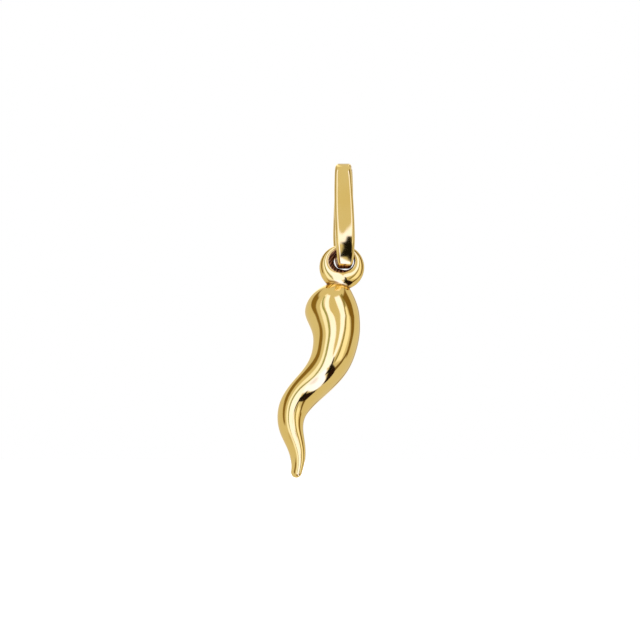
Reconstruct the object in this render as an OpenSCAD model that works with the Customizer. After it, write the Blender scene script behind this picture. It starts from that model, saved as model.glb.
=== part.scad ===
// Cornicello horn pendant: a flat-band bail and an S-curved horn with a ring-shaped eye.
// The origin is where the chain sits, at the top of the bail's inside. +Z is up, and the
// horn's curve lies in the XZ plane. The front of the pendant faces -Y.

/* [Bail] */
// Height of the hinge above the saddle, the bottom of the bail's inside
hinge_up = 0.57; // [0.54:0.01:0.6]
// Radius of the band's long edges
band_edge_r = 0.28; // [0.1:0.01:0.3]
// Turn of the band about the vertical, in degrees for each mm of height
bail_twist = 1.5; // [0:0.1:2]
// Depth below the chain's seat at which the band faces straight forward
bail_square_down = 2.4; // [1:0.1:4]
// Sideways lean of the bail, in mm for each mm of height
bail_lean = 0.005; // [0:0.001:0.01]

/* [Eye] */
// Outer radius of the eye
eye_r = 1.87; // [1.8:0.01:1.9]
// Half width of the eye's hole at its mouths, on the front and the back
mouth_half_w = 1.16; // [1.12:0.01:1.2]
// Half width of the eye's hole at its waist, the narrowest place inside it
waist_half_w = 0.86; // [0.84:0.01:0.9]
// Sideways place of the waist's middle, from the eye's centre
waist_side = 0.19; // [0.12:0.01:0.2]
// Half height of the eye's hole at its waist
waist_half_h = 0.75; // [0.73:0.01:0.8]
// Thickness of the eye at its top, where it hangs in the saddle
eye_top_t = 0.66; // [0.6:0.01:0.7]
// Half depth of the eye at its top
eye_top_half_d = 0.32; // [0.3:0.01:0.36]
// Half depth of the eye at its foot, where it joins the horn
eye_foot_half_d = 0.74; // [0.6:0.01:0.8]
// Sideways place of the eye's centre
eye_x = -0.15; // [-0.18:0.01:0]

/* [Horn] */
// Sideways place of the top of the horn's dome, from the eye's centre
dome_side = 0.1; // [-0.1:0.01:0.2]
// Depth of the top of the horn's dome, below the eye's centre
dome_down = 1.33; // [1.2:0.01:1.4]
// Fullness of the dome: 2 is an ellipse, less is more pointed
dome_power = 1.77; // [1.5:0.01:2]
// Length of the rounded tip, past the last section
tip_len = 0.5; // [0.3:0.01:0.6]

/* [Mesh] */
// Points round each section of the horn
horn_sides = 36; // [24:4:48]
// Points round each section of the eye
eye_sides = 18; // [12:2:24]
// Sections round the eye
eye_rings = 48; // [36:4:60]

/* [Hidden] */

// Sections of the bail's band, from the top of the loop to its bottom
// down: depth of the band's middle below the chain's seat
// away: distance of the band's middle from the loop's upright axis
// thick, width: the band's thickness and its width
//             down   away  thick  width
BAIL_ROWS = [[-0.31,  0.00,  0.62,  1.36],
             [-0.19,  0.46,  0.62,  1.37],
             [ 0.13,  0.82,  0.62,  1.39],
             [ 0.65,  1.03,  0.62,  1.43],
             [ 1.60,  1.15,  0.63,  1.52],
             [ 3.00,  1.27,  0.64,  1.60],
             [ 4.40,  1.33,  0.64,  1.62],
             [ 5.60,  1.25,  0.65,  1.60],
             [ 6.55,  0.97,  0.72,  1.50],
             [ 7.22,  0.69,  0.76,  1.42],
             [ 7.54,  0.41,  0.88,  1.30],
             [ 7.66,  0.00,  0.98,  1.22]];
DOWN = 0;
AWAY = 1;
THICK = 2;
WIDTH = 3;

// Sections of the horn, from the shoulder to the tip. Each is an oval, turned a little.
// side, drop, back: the section's middle, sideways from, below and behind the eye's centre
// wide, deep: half the section's width and half its depth
// tilt: the section's lean from level, in degrees, with its right side up for a positive one
// slant: how far the section's right side stands in front of its middle
//             side   drop   wide  tilt   back   deep  slant
HORN_ROWS = [[-0.82,  3.65,  2.29,   -4, -0.13,  2.00,  0.14],
             [-0.81,  3.92,  2.30,   -2, -0.14,  2.01,  0.22],
             [-0.76,  4.18,  2.26,    0, -0.17,  1.99,  0.24],
             [-0.67,  4.50,  2.19,    2, -0.21,  1.97,  0.20],
             [-0.54,  4.95,  2.08,    3, -0.28,  1.92,  0.13],
             [-0.46,  5.50,  1.99,    0, -0.35,  1.87,  0.05],
             [-0.49,  6.10,  1.90,   -5, -0.41,  1.82, -0.02],
             [-0.61,  6.75,  1.83,  -11, -0.45,  1.79, -0.05],
             [-0.81,  7.50,  1.76,  -20, -0.46,  1.77, -0.07],
             [-1.17,  8.25,  1.65,  -31, -0.42,  1.72, -0.11],
             [-1.73,  9.00,  1.51,  -39, -0.30,  1.62, -0.20],
             [-2.37,  9.70,  1.43,  -44, -0.08,  1.51, -0.37],
             [-3.01, 10.30,  1.38,  -45,  0.12,  1.44, -0.40],
             [-3.62, 11.00,  1.33,  -37,  0.20,  1.40, -0.24],
             [-4.00, 11.60,  1.27,  -26,  0.20,  1.35, -0.07],
             [-4.19, 12.10,  1.20,  -16,  0.17,  1.28,  0.03],
             [-4.28, 12.65,  1.13,   -5,  0.14,  1.20,  0.10],
             [-4.27, 13.20,  1.06,    4,  0.09,  1.12,  0.16],
             [-4.18, 13.70,  0.98,   12,  0.05,  1.02,  0.20],
             [-4.02, 14.20,  0.89,   16,  0.02,  0.91,  0.22],
             [-3.86, 14.70,  0.81,   15, -0.01,  0.82,  0.22],
             [-3.73, 15.20,  0.73,   11, -0.03,  0.74,  0.22],
             [-3.66, 15.70,  0.66,    5, -0.05,  0.67,  0.22],
             [-3.65, 16.20,  0.59,   -2, -0.06,  0.59,  0.21],
             [-3.71, 16.70,  0.50,   -9, -0.07,  0.50,  0.20],
             [-3.78, 17.05,  0.47,  -12, -0.07,  0.47,  0.19]];
SIDE = 0;
DROP = 1;
WIDE = 2;
TILT = 3;
BACK = 4;
DEEP = 5;
SLANT = 6;

// The hinge runs across the bail, above the saddle and through the eye's top
bail_low = BAIL_ROWS[len(BAIL_ROWS) - 1];
hinge_z = hinge_up + bail_low[THICK] / 2 - bail_low[DOWN];
// The eye's top bends down on both sides of the saddle, so its middle lies above the hinge
eye_top_rise = 0.11;
eye_z = hinge_z + eye_top_rise + eye_top_t / 2 - eye_r;
// The waist sits high in the eye, which leaves the foot thick
waist_rise = eye_r - eye_top_t - waist_half_h;
// The mouths' half height and their middle's place, from the eye's centre
mouth_half_h = 1.06;
mouth_rise = 0.56;
mouth_side = -0.04;
// Shape of the slope from a mouth to the waist: 2 is an ellipse, less is more like a cone
bevel_power = 1.45;

// Sections added between two rows of a table
bail_steps = 3;
horn_steps = 3;
dome_steps = 10;
tip_steps = 5;
// Points round each edge of the band
edge_points = 5;
// Change of the dome's tilt from its top to the shoulder
dome_tilt = 17;

// A smooth curve through p1 and p2, with t from 0 to 1 between them
function smooth(p0, p1, p2, p3, t) =
    (2 * p1 + (p2 - p0) * t + (2 * p0 - 5 * p1 + 4 * p2 - p3) * t * t
    + (3 * p1 - p0 - 3 * p2 + p3) * t * t * t) / 2;

// The row at a place between rows, on an open table and on one that closes on itself
function open_row(rows, u) =
    let (i = min(floor(u), len(rows) - 2), last = len(rows) - 1)
    smooth(rows[max(i - 1, 0)], rows[i], rows[i + 1], rows[min(i + 2, last)], u - i);
function ring_row(rows, u) =
    let (n = len(rows), i = floor(u))
    smooth(rows[(i + n - 1) % n], rows[i % n], rows[(i + 1) % n], rows[(i + 2) % n], u - i);

// A skin over a list of sections, each with the same number of points. An open skin
// has its two end sections as faces, and a closed one joins the last to the first.
module skin(sections, closed) {
    n = len(sections);
    m = len(sections[0]);
    walls = [
        for (i = [0:n - (closed ? 1 : 2)], j = [0:m - 1])
            let (k = (i + 1) % n, l = (j + 1) % m)
            [i * m + j, k * m + j, k * m + l, i * m + l]
    ];
    ends = closed ? [] : [
        [for (j = [0:m - 1]) j],
        [for (j = [m - 1:-1:0]) (n - 1) * m + j]
    ];
    polyhedron([for (s = sections) each s], concat(walls, ends));
}

// The bail's rows all the way round: down the front, under, and up the back
function with_side(row, side) = [row[DOWN], side * row[AWAY], row[THICK], row[WIDTH]];
function bail_loop() =
    let (last = len(BAIL_ROWS) - 1)
    concat([for (i = [0:last]) with_side(BAIL_ROWS[i], -1)],
           [for (i = [last - 1:-1:1]) with_side(BAIL_ROWS[i], 1)]);

// The band's section: a rectangle with round edges, as [across, outward] points
function band_section(width, thick) =
    [
        for (k = [0:3], e = [0:edge_points - 1])
            let (
                a = 90 * k + 90 * e / (edge_points - 1),
                across = (k == 0 || k == 3 ? 1 : -1) * (width / 2 - band_edge_r),
                outward = (k < 2 ? 1 : -1) * (thick / 2 - band_edge_r)
            )
            [across + band_edge_r * cos(a), outward + band_edge_r * sin(a)]
    ];

// A point of the loop in its own plane, twisted and leaned with its height
function hung(p) =
    let (turn = bail_twist * (-p.z - bail_square_down))
    [
        p.x * cos(turn) - p.y * sin(turn) - bail_lean * p.z,
        p.x * sin(turn) + p.y * cos(turn),
        p.z
    ];

function bail_sections() =
    let (rows = bail_loop(), step = 1 / bail_steps)
    [
        for (u = [0:step:len(rows) - step / 2])
            let (
                row = ring_row(rows, u),
                ahead = ring_row(rows, u + 0.1) - ring_row(rows, u + len(rows) - 0.1),
                along = [ahead[AWAY], -ahead[DOWN]] / norm([ahead[AWAY], ahead[DOWN]])
            )
            [
                for (s = band_section(row[WIDTH], row[THICK]))
                    hung([s.x, row[AWAY] + s.y * along.y, -row[DOWN] - s.y * along.x])
            ]
    ];

// Distance from the eye's centre to an oval round it, at an angle from the eye's top
function oval_reach(a, half_w, half_h, side, rise) =
    let (
        p = pow(sin(a) / half_w, 2) + pow(cos(a) / half_h, 2),
        q = sin(a) * side / pow(half_w, 2) + cos(a) * rise / pow(half_h, 2),
        r = pow(side / half_w, 2) + pow(rise / half_h, 2) - 1
    )
    (q + sqrt(q * q - p * r)) / p;
function mouth_reach(a) = oval_reach(a, mouth_half_w, mouth_half_h, mouth_side, mouth_rise);
function waist_reach(a) = oval_reach(a, waist_half_w, waist_half_h, waist_side, waist_rise);

// The eye's section, as [out, back] points: round outside, and sloping from mouth to waist
function eye_section(mouth, waist, half_d) =
    [
        for (j = [0:eye_sides - 1])
            let (
                b = -360 * j / eye_sides,
                outer = cos(b) > 0,
                power = outer ? 1 : 2 / bevel_power,
                across = sign(cos(b)) * pow(abs(cos(b)), power),
                back = sign(sin(b)) * pow(abs(sin(b)), power)
            )
            [mouth + across * (outer ? eye_r - mouth : mouth - waist), half_d * back]
    ];

function eye_sections() =
    [
        for (i = [0:eye_rings - 1])
            let (
                a = 360 * i / eye_rings,
                low = (1 - cos(a)) / 2,
                half_d = eye_top_half_d + (eye_foot_half_d - eye_top_half_d) * low
            )
            [
                for (s = eye_section(mouth_reach(a), waist_reach(a), half_d))
                    [eye_x + s.x * sin(a), s.y, eye_z + s.x * cos(a)]
            ]
    ];

// The dome above the shoulder, at an angle from 0 at its top to 90 at the shoulder
function dome_row(a) =
    let (
        first = HORN_ROWS[0],
        up = pow(cos(a), 2 / dome_power),
        full = pow(sin(a), 2 / dome_power)
    )
    [
        first[SIDE] + (dome_side - first[SIDE]) * up * up,
        first[DROP] + (dome_down - first[DROP]) * up,
        first[WIDE] * full,
        first[TILT] - dome_tilt * up,
        first[BACK] * (1 - up),
        first[DEEP] * full,
        first[SLANT] * full
    ];

// The rounded tip below the last row, at an angle from 0 at that row to 90 at the end
function tip_row(a) =
    let (last = HORN_ROWS[len(HORN_ROWS) - 1])
    [
        last[SIDE] + tip_len * sin(a) * sin(last[TILT]),
        last[DROP] + tip_len * sin(a) * cos(last[TILT]),
        last[WIDE] * cos(a),
        last[TILT],
        last[BACK],
        last[DEEP] * cos(a),
        last[SLANT] * cos(a)
    ];

function horn_rows() =
    concat(
        [for (k = [0:dome_steps - 1]) dome_row(max(90 * k / dome_steps, 3))],
        [for (k = [0:horn_steps * (len(HORN_ROWS) - 1)]) open_row(HORN_ROWS, k / horn_steps)],
        [for (k = [1:tip_steps]) tip_row(min(90 * k / tip_steps, 84))]
    );

function horn_sections() =
    [
        for (row = horn_rows())
            [
                for (j = [0:horn_sides - 1])
                    let (
                        b = -360 * j / horn_sides,
                        out = row[WIDE] * cos(b)
                    )
                    [
                        eye_x + row[SIDE] + out * cos(row[TILT]),
                        row[BACK] + row[DEEP] * sin(b) - row[SLANT] * cos(b),
                        eye_z - row[DROP] + out * sin(row[TILT])
                    ]
            ]
    ];

module bail() {
    color("gold") skin(bail_sections(), true);
}

// The eye is soldered to the horn's dome, so the two are one solid
module horn() {
    color("goldenrod") union() {
        skin(eye_sections(), true);
        skin(horn_sections(), false);
    }
}

bail();
horn();
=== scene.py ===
"""Looks of the cornicello horn pendant: smooth polished gold in a white light tent."""
import math

import bmesh
import bpy
import numpy as np
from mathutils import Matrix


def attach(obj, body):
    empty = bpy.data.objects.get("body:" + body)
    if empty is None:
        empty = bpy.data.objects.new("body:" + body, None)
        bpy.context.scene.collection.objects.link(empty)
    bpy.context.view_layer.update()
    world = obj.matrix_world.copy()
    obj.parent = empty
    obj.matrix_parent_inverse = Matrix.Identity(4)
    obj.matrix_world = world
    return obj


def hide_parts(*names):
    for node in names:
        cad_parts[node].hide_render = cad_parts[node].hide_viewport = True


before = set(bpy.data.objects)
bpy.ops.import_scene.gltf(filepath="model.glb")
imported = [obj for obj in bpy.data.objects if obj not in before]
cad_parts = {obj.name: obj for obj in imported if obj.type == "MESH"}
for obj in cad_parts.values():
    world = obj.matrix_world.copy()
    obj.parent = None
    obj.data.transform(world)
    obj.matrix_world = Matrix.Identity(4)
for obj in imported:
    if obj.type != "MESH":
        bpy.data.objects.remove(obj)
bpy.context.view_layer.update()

MM = 0.001

# The bail's band, from the top of the loop to its bottom. Each row has the distance down from the
# chain's seat and away from the middle plane, the band's thickness and its width (mm).
BAIL_ROWS = np.array([
    [-0.31, 0.00, 0.62, 1.36],
    [-0.19, 0.46, 0.62, 1.37],
    [0.13, 0.82, 0.62, 1.39],
    [0.65, 1.03, 0.62, 1.43],
    [1.60, 1.15, 0.63, 1.52],
    [3.00, 1.27, 0.64, 1.60],
    [4.40, 1.33, 0.64, 1.62],
    [5.60, 1.25, 0.65, 1.60],
    [6.55, 0.97, 0.72, 1.50],
    [7.22, 0.69, 0.76, 1.42],
    [7.54, 0.41, 0.88, 1.30],
    [7.66, 0.00, 0.98, 1.22],
])
BAND_EDGE_R = 0.28
# The band is twisted by degrees per mm of its height, and faces the front at this height
BAIL_TWIST = 1.5
BAIL_SQUARE_DOWN = 2.4
BAIL_LEAN = 0.005

# The horn's oval sections, from the shoulder to the tip. Each row has the middle's distance to the
# side and down from the eye's middle, half the section's width, its tilt in degrees, how far it
# lies to the back, half its depth, and how far its right side leans to the front (mm).
HORN_ROWS = np.array([
    [-0.82, 3.65, 2.29, -4, -0.13, 2.00, 0.14],
    [-0.81, 3.92, 2.30, -2, -0.14, 2.01, 0.22],
    [-0.76, 4.18, 2.26, 0, -0.17, 1.99, 0.24],
    [-0.67, 4.50, 2.19, 2, -0.21, 1.97, 0.20],
    [-0.54, 4.95, 2.08, 3, -0.28, 1.92, 0.13],
    [-0.46, 5.50, 1.99, 0, -0.35, 1.87, 0.05],
    [-0.49, 6.10, 1.90, -5, -0.41, 1.82, -0.02],
    [-0.61, 6.75, 1.83, -11, -0.45, 1.79, -0.05],
    [-0.81, 7.50, 1.76, -20, -0.46, 1.77, -0.07],
    [-1.17, 8.25, 1.65, -31, -0.42, 1.72, -0.11],
    [-1.73, 9.00, 1.51, -39, -0.30, 1.62, -0.20],
    [-2.37, 9.70, 1.43, -44, -0.08, 1.51, -0.37],
    [-3.01, 10.30, 1.38, -45, 0.12, 1.44, -0.40],
    [-3.62, 11.00, 1.33, -37, 0.20, 1.40, -0.24],
    [-4.00, 11.60, 1.27, -26, 0.20, 1.35, -0.07],
    [-4.19, 12.10, 1.20, -16, 0.17, 1.28, 0.03],
    [-4.28, 12.65, 1.13, -5, 0.14, 1.20, 0.10],
    [-4.27, 13.20, 1.06, 4, 0.09, 1.12, 0.16],
    [-4.18, 13.70, 0.98, 12, 0.05, 1.02, 0.20],
    [-4.02, 14.20, 0.89, 16, 0.02, 0.91, 0.22],
    [-3.86, 14.70, 0.81, 15, -0.01, 0.82, 0.22],
    [-3.73, 15.20, 0.73, 11, -0.03, 0.74, 0.22],
    [-3.66, 15.70, 0.66, 5, -0.05, 0.67, 0.22],
    [-3.65, 16.20, 0.59, -2, -0.06, 0.59, 0.21],
    [-3.71, 16.70, 0.50, -9, -0.07, 0.50, 0.20],
    [-3.78, 17.05, 0.47, -12, -0.07, 0.47, 0.19],
])
# The dome above the shoulder: where its top lies, how full it is and its tilt (mm and degrees)
DOME_SIDE = 0.1
DOME_DOWN = 1.33
DOME_POWER = 1.77
DOME_TILT = 17
# Angles at which the dome starts and the tip's cap ends, so that neither closes to a point
DOME_START = 0.7
TIP_END = 88
TIP_LEN = 0.5
EVENING_PASSES = 60

# The eye (mm)
EYE_R = 1.87
EYE_TOP_T = 0.66
EYE_TOP_HALF_D = 0.32
EYE_FOOT_HALF_D = 0.74
BEVEL_POWER = 1.45
EYE_X = -0.15
HINGE_Z = -6.6
EYE_TOP_RISE = 0.11
EYE_Z = HINGE_Z + EYE_TOP_RISE + EYE_TOP_T / 2 - EYE_R
# Ovals of the hole's mouths and of its waist: half width, half height, side, rise
MOUTH = (1.16, 1.06, -0.04, 0.56)
WAIST = (0.86, 0.75, 0.19, EYE_R - EYE_TOP_T - 0.75)
# The uneven seam that casting left round the waist, highest at the foot of the hole: its height,
# and the number and share of its waves
SEAM = 0.11
SEAM_WAVES = ((23, 0.08), (41, 0.05))
EYE_RINGS = 200
EYE_SIDES = 64


def smooth(p0, p1, p2, p3, t):
    """A point on the smooth curve between p1 and p2."""
    return (
        2 * p1 + (p2 - p0) * t + (2 * p0 - 5 * p1 + 4 * p2 - p3) * t * t
        + (3 * p1 - p0 - 3 * p2 + p3) * t * t * t
    ) / 2


def open_row(rows, u):
    last = len(rows) - 1
    i = min(int(u), last - 1)
    return smooth(rows[max(i - 1, 0)], rows[i], rows[i + 1], rows[min(i + 2, last)], u - i)


def ring_row(rows, u):
    n = len(rows)
    i = int(math.floor(u))
    return smooth(rows[(i - 1) % n], rows[i % n], rows[(i + 1) % n], rows[(i + 2) % n], u - i)


def add_object(name, mesh):
    obj = bpy.data.objects.new(name, mesh)
    bpy.context.scene.collection.objects.link(obj)
    return obj


def skin(name, sections, closed):
    """A mesh over a list of sections, each with the same number of points."""
    n, m = len(sections), len(sections[0])
    points = np.array(sections).reshape(-1, 3) * MM
    faces = []
    for i in range(n if closed else n - 1):
        k = (i + 1) % n
        for j in range(m):
            l = (j + 1) % m
            faces.append((i * m + j, i * m + l, k * m + l, k * m + j))
    if not closed:
        faces.append(tuple(range(m - 1, -1, -1)))
        faces.append(tuple((n - 1) * m + j for j in range(m)))
    mesh = bpy.data.meshes.new(name)
    mesh.from_pydata(points.tolist(), [], faces)
    mesh.validate()
    # all faces look outward
    shell = bmesh.new()
    shell.from_mesh(mesh)
    bmesh.ops.recalc_face_normals(shell, faces=shell.faces)
    shell.to_mesh(mesh)
    shell.free()
    mesh.polygons.foreach_set("use_smooth", [True] * len(mesh.polygons))
    mesh.update()
    return add_object(name, mesh)


def band_section(width, thick, points=9):
    """The band's cut: a flat bar with rounded edges."""
    out = []
    for k in range(4):
        across = (1 if k in (0, 3) else -1) * (width / 2 - BAND_EDGE_R)
        outward = (1 if k < 2 else -1) * (thick / 2 - BAND_EDGE_R)
        for e in range(points):
            a = math.radians(90 * k + 90 * e / (points - 1))
            out.append((across + BAND_EDGE_R * math.cos(a), outward + BAND_EDGE_R * math.sin(a)))
    return out


def hung(x, y, z):
    """A point of the bail, twisted and leaning as it hangs."""
    turn = math.radians(BAIL_TWIST * (-z - BAIL_SQUARE_DOWN))
    return (
        x * math.cos(turn) - y * math.sin(turn) - BAIL_LEAN * z,
        x * math.sin(turn) + y * math.cos(turn),
        z,
    )


def bail_sections(steps=10):
    front = BAIL_ROWS * [1, -1, 1, 1]
    loop = np.concatenate([front, BAIL_ROWS[-2:0:-1]])
    out = []
    for k in range(len(loop) * steps):
        u = k / steps
        row = ring_row(loop, u)
        ahead = ring_row(loop, u + 0.1) - ring_row(loop, u - 0.1)
        along = np.array([ahead[1], -ahead[0]]) / math.hypot(ahead[0], ahead[1])
        out.append([
            hung(x, row[1] + o * along[1], -row[0] - o * along[0])
            for x, o in band_section(row[3], row[2])
        ])
    return out


def oval_reach(a, half_w, half_h, side, rise):
    """How far an oval that lies off the middle reaches in the direction a."""
    p = (math.sin(a) / half_w) ** 2 + (math.cos(a) / half_h) ** 2
    q = math.sin(a) * side / half_w**2 + math.cos(a) * rise / half_h**2
    r = (side / half_w) ** 2 + (rise / half_h) ** 2 - 1
    return (q + math.sqrt(q * q - p * r)) / p


def signed_power(v, power):
    return math.copysign(abs(v) ** power, v)


def eye_sections():
    out = []
    for i in range(EYE_RINGS):
        a = 2 * math.pi * i / EYE_RINGS
        low = (1 - math.cos(a)) / 2
        seam = SEAM * low * sum((share * math.sin(n * a) for n, share in SEAM_WAVES), 1)
        mouth, waist = oval_reach(a, *MOUTH), oval_reach(a, *WAIST) - seam
        half_d = EYE_TOP_HALF_D + (EYE_FOOT_HALF_D - EYE_TOP_HALF_D) * low
        ring = []
        for j in range(EYE_SIDES):
            b = 2 * math.pi * j / EYE_SIDES
            outer = math.cos(b) > 0
            power = 1 if outer else 2 / BEVEL_POWER
            span = EYE_R - mouth if outer else mouth - waist
            reach = mouth + signed_power(math.cos(b), power) * span
            back = half_d * signed_power(math.sin(b), power)
            ring.append((EYE_X + reach * math.sin(a), back, EYE_Z + reach * math.cos(a)))
        out.append(ring)
    return out


def mark_hole_wall(obj, edge=0.12, soft=0.2):
    """Mark the wall of the eye's hole, which is left matt and gets painted shade, darker and
    redder.
    """
    inward = -np.cos(2 * np.pi * np.arange(EYE_SIDES) / EYE_SIDES)
    matt_and_painted_shade = np.tile(np.clip((inward - edge) / soft, 0, 1), EYE_RINGS)
    layer = obj.data.color_attributes.new("matt_and_painted_shade", "FLOAT_COLOR", "POINT")
    layer.data.foreach_set("color", np.repeat(matt_and_painted_shade, 4).astype(np.float32))


def horn_rows(dome_steps=40, steps=8, tip_steps=14):
    first, last = HORN_ROWS[0], HORN_ROWS[-1]
    rows = []
    for k in range(dome_steps):
        a = math.radians(max(90 * k / dome_steps, DOME_START))
        up = math.cos(a) ** (2 / DOME_POWER)
        full = math.sin(a) ** (2 / DOME_POWER)
        rows.append([
            first[0] + (DOME_SIDE - first[0]) * up * up,
            first[1] + (DOME_DOWN - first[1]) * up,
            first[2] * full,
            first[3] - DOME_TILT * up,
            first[4] * (1 - up),
            first[5] * full,
            first[6] * full,
        ])
    for k in range(steps * (len(HORN_ROWS) - 1) + 1):
        rows.append(open_row(HORN_ROWS, k / steps))
    lean = math.radians(last[3])
    for k in range(1, tip_steps + 1):
        a = math.radians(min(90 * k / tip_steps, TIP_END))
        rows.append([
            last[0] + TIP_LEN * math.sin(a) * math.sin(lean),
            last[1] + TIP_LEN * math.sin(a) * math.cos(lean),
            last[2] * math.cos(a),
            last[3],
            last[4],
            last[5] * math.cos(a),
            last[6] * math.cos(a),
        ])
    # even out the rows' changes, so that reflections run smoothly along the horn
    rows = np.array(rows)
    start, stop = dome_steps // 3, len(rows) - tip_steps
    for _ in range(EVENING_PASSES):
        before, after = rows[start - 1:stop - 1], rows[start + 1:stop + 1]
        rows[start:stop] = (before + 2 * rows[start:stop] + after) / 4
    return rows


def horn_sections(sides=120):
    out = []
    for side, drop, wide, tilt, back, deep, slant in horn_rows():
        t = math.radians(tilt)
        ring = []
        for j in range(sides):
            b = 2 * math.pi * j / sides
            reach = wide * math.cos(b)
            ring.append((
                EYE_X + side + reach * math.cos(t),
                back + deep * math.sin(b) - slant * math.cos(b),
                EYE_Z - drop + reach * math.sin(t),
            ))
        out.append(ring)
    return out


class Nodes:
    """Shorthand for a material's node tree."""

    def __init__(self, name):
        self.mat = bpy.data.materials.new(name)
        self.mat.use_nodes = True
        self.tree = self.mat.node_tree
        self.tree.nodes.clear()

    def add(self, kind, values=None, links=None, **settings):
        node = self.tree.nodes.new(kind)
        for key, value in settings.items():
            setattr(node, key, value)
        for socket, value in (values or {}).items():
            node.inputs[socket].default_value = value
        for socket, source in (links or {}).items():
            self.tree.links.new(source, node.inputs[socket])
        return node

    def noise(self, vector, scale, detail):
        values = {"Scale": scale, "Detail": detail}
        return self.add("ShaderNodeTexNoise", values, {"Vector": vector}).outputs["Fac"]

    def ramp(self, value, *stops):
        node = self.add("ShaderNodeValToRGB", links={"Fac": value})
        for element, (position, colour) in zip(node.color_ramp.elements, stops):
            element.position = position
            element.color = (*colour, 1)
        return node.outputs["Color"]

    def map_range(self, value, values, links=None):
        node = self.add("ShaderNodeMapRange", values, {"Value": value, **(links or {})})
        return node.outputs["Result"]


def gold_material():
    """Polished nodes. Noise and wave scales are in cycles for the metres of object space."""
    nodes = Nodes("polished_gold")
    place = nodes.add("ShaderNodeTexCoord").outputs["Object"]

    # the colour drifts a little over the surface
    drift = nodes.noise(place, 420, 3)
    bright = nodes.ramp(drift, (0.3, (0.93, 0.65, 0.18)), (0.7, (0.95, 0.69, 0.22)))

    # painted shade: recesses and creases, found by occlusion, and the marked hole wall are painted
    # darker and redder, and they are also left matt
    recess = nodes.add("ShaderNodeAmbientOcclusion", {"Distance": 0.7 * MM}, samples=8)
    open_part = nodes.map_range(recess.outputs["AO"], {"From Min": 0.35, "From Max": 0.78})
    wall = nodes.add("ShaderNodeAttribute", attribute_name="matt_and_painted_shade").outputs["Fac"]
    off_wall = nodes.add("ShaderNodeMath", {0: 1}, {1: wall}, operation="SUBTRACT")
    polished_outside_painted_shade = nodes.add(
        "ShaderNodeMath", links={0: open_part, 1: off_wall.outputs["Value"]}, operation="MINIMUM"
    ).outputs["Value"]

    # painted reflection: dark slanting stripes in the painted shade of the recesses and the hole
    # wall
    slant = nodes.add("ShaderNodeMapping", {"Scale": (1, 0.4, -1)}, {"Vector": place})
    painted_reflection_bands = nodes.add(
        "ShaderNodeTexWave",
        {"Scale": 1900, "Distortion": 2.5, "Detail": 2, "Detail Scale": 2},
        {"Vector": slant.outputs["Vector"]},
        bands_direction="DIAGONAL",
    ).outputs["Fac"]
    painted_shade_and_reflection = nodes.ramp(painted_reflection_bands, (0.35, (0.10, 0.035, 0.015)), (0.75, (0.50, 0.23, 0.08)))
    colour = nodes.add(
        "ShaderNodeMix", links={"Factor": polished_outside_painted_shade, "A": painted_shade_and_reflection, "B": bright}, data_type="RGBA"
    )

    # polish marks: the gloss varies finely
    rub = nodes.noise(place, 2600, 4)
    shine = {"From Min": 0.35, "From Max": 0.75, "To Min": 0.05, "To Max": 0.11}
    gloss = nodes.map_range(rub, shine)
    roughness = nodes.map_range(polished_outside_painted_shade, {"To Min": 0.6}, {"To Max": gloss})

    # hand polishing leaves the surface very slightly wavy
    ripple = nodes.noise(place, 900, 2)
    height = {"Strength": 0.12, "Distance": 0.04 * MM}
    bump = nodes.add("ShaderNodeBump", height, {"Height": ripple})

    bsdf = nodes.add("ShaderNodeBsdfPrincipled", {"Metallic": 1.0}, {
        "Base Color": colour.outputs["Result"],
        "Roughness": roughness,
        "Normal": bump.outputs["Normal"],
    })
    nodes.add("ShaderNodeOutputMaterial", links={"Surface": bsdf.outputs["BSDF"]})
    return nodes.mat


gold = gold_material()

bail = skin("bail_band", bail_sections(), True)
eye = skin("horn_eye", eye_sections(), True)
horn = skin("horn_body", horn_sections(), False)
mark_hole_wall(eye)
for piece in (bail, eye, horn):
    piece.data.materials.append(gold)
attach(bail, "bail")
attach(eye, "horn")
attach(horn, "horn")
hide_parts("bail")
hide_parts("horn")
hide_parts("horn")

# The camera, at the photograph's angle. The chain's seat, which is the origin, lies at SEAT in the
# picture (pixels), and 12 pixels of the picture are 1 mm.
PICTURE = 640
PX_PER_MM = 12
SEAT = (343.6, 171)
LENS = 400
SENSOR = 36
cam_data = bpy.data.cameras.new("camera")
cam_data.lens = LENS
cam_data.sensor_width = SENSOR
cam_data.clip_start = 0.01
cam_data.clip_end = 5
cam = add_object("camera", cam_data)
cam.location = (
    (PICTURE / 2 - SEAT[0]) / PX_PER_MM * MM,
    -PICTURE / PX_PER_MM * MM * LENS / SENSOR,
    -(PICTURE / 2 - SEAT[1]) / PX_PER_MM * MM,
)
cam.rotation_euler = (math.radians(90), 0, 0)
bpy.context.scene.camera = cam

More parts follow.
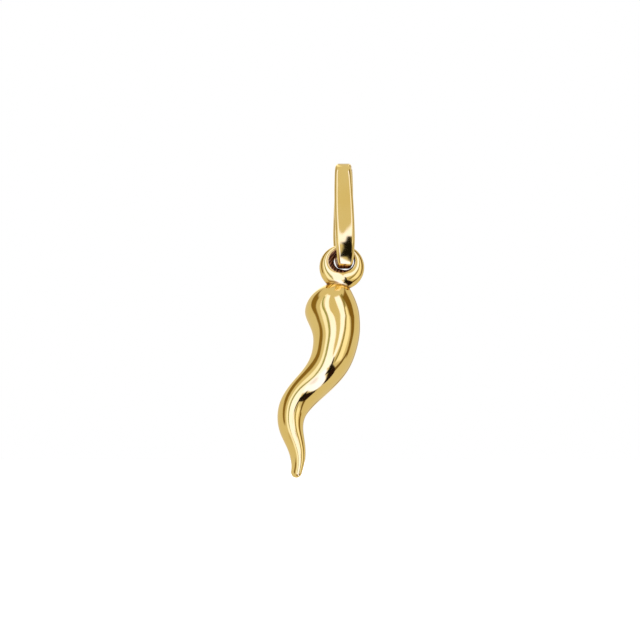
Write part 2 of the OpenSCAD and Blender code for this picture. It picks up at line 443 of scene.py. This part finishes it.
# The light tent: a dome of soft light round the pendant. Azimuth 0 is the camera's side and 90 is
# to its right. Each panel has the softness of its edges in degrees, its colour, and rows of its
# elevation and the azimuths of its left and right edges there. A later panel covers an earlier one.
WALL = (0.72, 0.72, 0.75)
PANELS = [
    # brown, left
    (6, (0.25, 0.17, 0.05), [
        (-14, -76, -62), (7, -89, -67), (15, -97, -70), (28, -115, -77), (50, -146, -89)
    ]),
    # cream, left
    (5, (1.10, 1.26, 2.10), [
        (-39, -47, -7), (-4, -50, -25), (12, -51, -33), (40, -60, -44), (71, -69, -56)
    ]),
    # thin dark edge, left
    (3, (0.38, 0.44, 0.32), [
        (-25, -30, -11), (7, -38, -27), (23, -45, -36), (41, -55, -46), (62, -68, -58)
    ]),
    # white, left
    (4, (1.25, 1.45, 3.30), [
        (-27, -27, 20), (-7, -26, 4), (15, -29, -11),
        (29, -34, -16), (57, -48, -23), (70, -55, -26),
    ]),
    # white, right
    (4, (1.25, 1.45, 3.30), [
        (-28, -9, -2), (-11, 4, 18), (0, 12, 30), (18, 22, 42), (37, 19, 48), (65, 10, 48)
    ]),
    # thin dark edge, right
    (3, (0.32, 0.31, 0.20), [
        (-23, 21, 29), (-14, 26, 34), (14, 41, 50), (32, 48, 59), (63, 55, 75)
    ]),
    # cream, right
    (5, (1.12, 1.18, 1.60), [
        (-25, 29, 55), (-4, 40, 61), (11, 46, 61), (26, 52, 62), (34, 55, 62)
    ]),
    # brown, right
    (5, (0.23, 0.15, 0.04), [
        (-22, 72, 85), (1, 69, 91), (17, 68, 96), (34, 67, 102), (57, 63, 105)
    ]),
    # brown, low right
    (4, (0.18, 0.12, 0.03), [(-45, 29, 54), (-16, 73, 80)]),
    # white, below
    (6, (1.30, 1.60, 4.40), [
        (-75, 0, 67), (-66, -5, 48), (-57, -10, 29), (-44, -18, 10), (-34, -24, 5), (-26, -26, -4)
    ]),
    # black, low
    (4, (0.02, 0.01, 0.01), [
        (-66, 46, 60), (-62, 40, 60), (-52, 26, 58), (-46, 20, 55),
        (-41, 17, 49), (-34, 13, 36), (-24, 6, 16),
    ]),
    # black upright
    (3, (0.01, 0.01, 0.01), [(-44, 7, 27), (-32, 10, 22), (-12, 11, 15)]),
    # brown, below left
    (12, (0.36, 0.24, 0.08), [(-85, -56, 21), (-31, -63, -20)]),
    # white, cream and brown, behind
    (6, (1.30, 1.35, 1.55), [(-50, -178, -166), (10, -176, -160), (70, -170, -150)]),
    (6, (1.10, 1.12, 1.25), [(-40, 166, 174), (20, 161, 172), (70, 152, 166)]),
    (5, (0.25, 0.17, 0.05), [(-30, 150, 157), (20, 147, 154), (60, 140, 148)]),
]
# Steps of the smooth edge between two rows of a panel
EDGE_STEPS = 8


def tent_colour(az, el):
    """The tent's colour in each direction (degrees)."""
    colour = np.tile(np.array(WALL), (len(az), 1))
    for soft, value, rows in PANELS:
        rows = np.array(rows, float)
        count = EDGE_STEPS * (len(rows) - 1) + 1
        level, left, right = np.array([open_row(rows, k / EDGE_STEPS) for k in range(count)]).T
        cover = (
            np.clip((az - np.interp(el, level, left)) / soft + 0.5, 0, 1)
            * np.clip((np.interp(el, level, right) - az) / soft + 0.5, 0, 1)
            * np.clip((el - level[0]) / soft + 0.5, 0, 1)
            * np.clip((level[-1] - el) / soft + 0.5, 0, 1)
        )[:, None]
        colour = colour * (1 - cover) + np.array(value) * cover
    return colour


def light_tent(radius=0.9, middle=-0.013, columns=720, rows=360):
    az, el = np.meshgrid(
        np.radians(np.linspace(-180, 180, columns, endpoint=False)),
        np.radians(np.linspace(-90, 90, rows + 1)),
    )
    az, el = az.ravel(), el.ravel()
    points = radius * np.stack([np.sin(az) * np.cos(el), -np.cos(az) * np.cos(el), np.sin(el)], 1)
    points += [0, 0, middle]
    faces = [
        (i * columns + j, i * columns + (j + 1) % columns,
         (i + 1) * columns + (j + 1) % columns, (i + 1) * columns + j)
        for i in range(rows) for j in range(columns)
    ]
    mesh = bpy.data.meshes.new("light_tent")
    mesh.from_pydata(points.tolist(), [], faces)
    layer = mesh.color_attributes.new("tent", "FLOAT_COLOR", "POINT")
    colour = np.concatenate([tent_colour(np.degrees(az), np.degrees(el)), np.ones((len(az), 1))], 1)
    layer.data.foreach_set("color", colour.astype(np.float32).ravel())
    nodes = Nodes("tent_light")
    shade = nodes.add("ShaderNodeAttribute", attribute_name="tent").outputs["Color"]
    glow = nodes.add("ShaderNodeEmission", links={"Color": shade}).outputs["Emission"]
    nodes.add("ShaderNodeOutputMaterial", links={"Surface": glow})
    mesh.materials.append(nodes.mat)
    obj = add_object("light_tent", mesh)
    obj.visible_camera = False
    obj.visible_shadow = False


def pale_floor(half=0.6, low=-0.036):
    """A plain pale floor under the hanging pendant."""
    corners = [(-half, -half, low), (half, -half, low), (half, half, low), (-half, half, low)]
    mesh = bpy.data.meshes.new("floor")
    mesh.from_pydata(corners, [], [(0, 1, 2, 3)])
    pale = bpy.data.materials.new("pale_floor")
    pale.use_nodes = True
    bsdf = pale.node_tree.nodes["Principled BSDF"]
    bsdf.inputs["Base Color"].default_value = (0.95, 0.95, 0.95, 1)
    bsdf.inputs["Roughness"].default_value = 0.9
    bsdf.inputs["Emission Color"].default_value = (1, 1, 1, 1)
    bsdf.inputs["Emission Strength"].default_value = 1.0
    mesh.materials.append(pale)
    floor = add_object("floor", mesh)
    floor.visible_glossy = False


light_tent()
pale_floor()

world = bpy.data.worlds.new("white")
bpy.context.scene.world = world
world.use_nodes = True
background = world.node_tree.nodes["Background"]
background.inputs["Color"].default_value = (1, 1, 1, 1)
background.inputs["Strength"].default_value = 1.0

bpy.context.scene.view_settings.view_transform = "Standard"
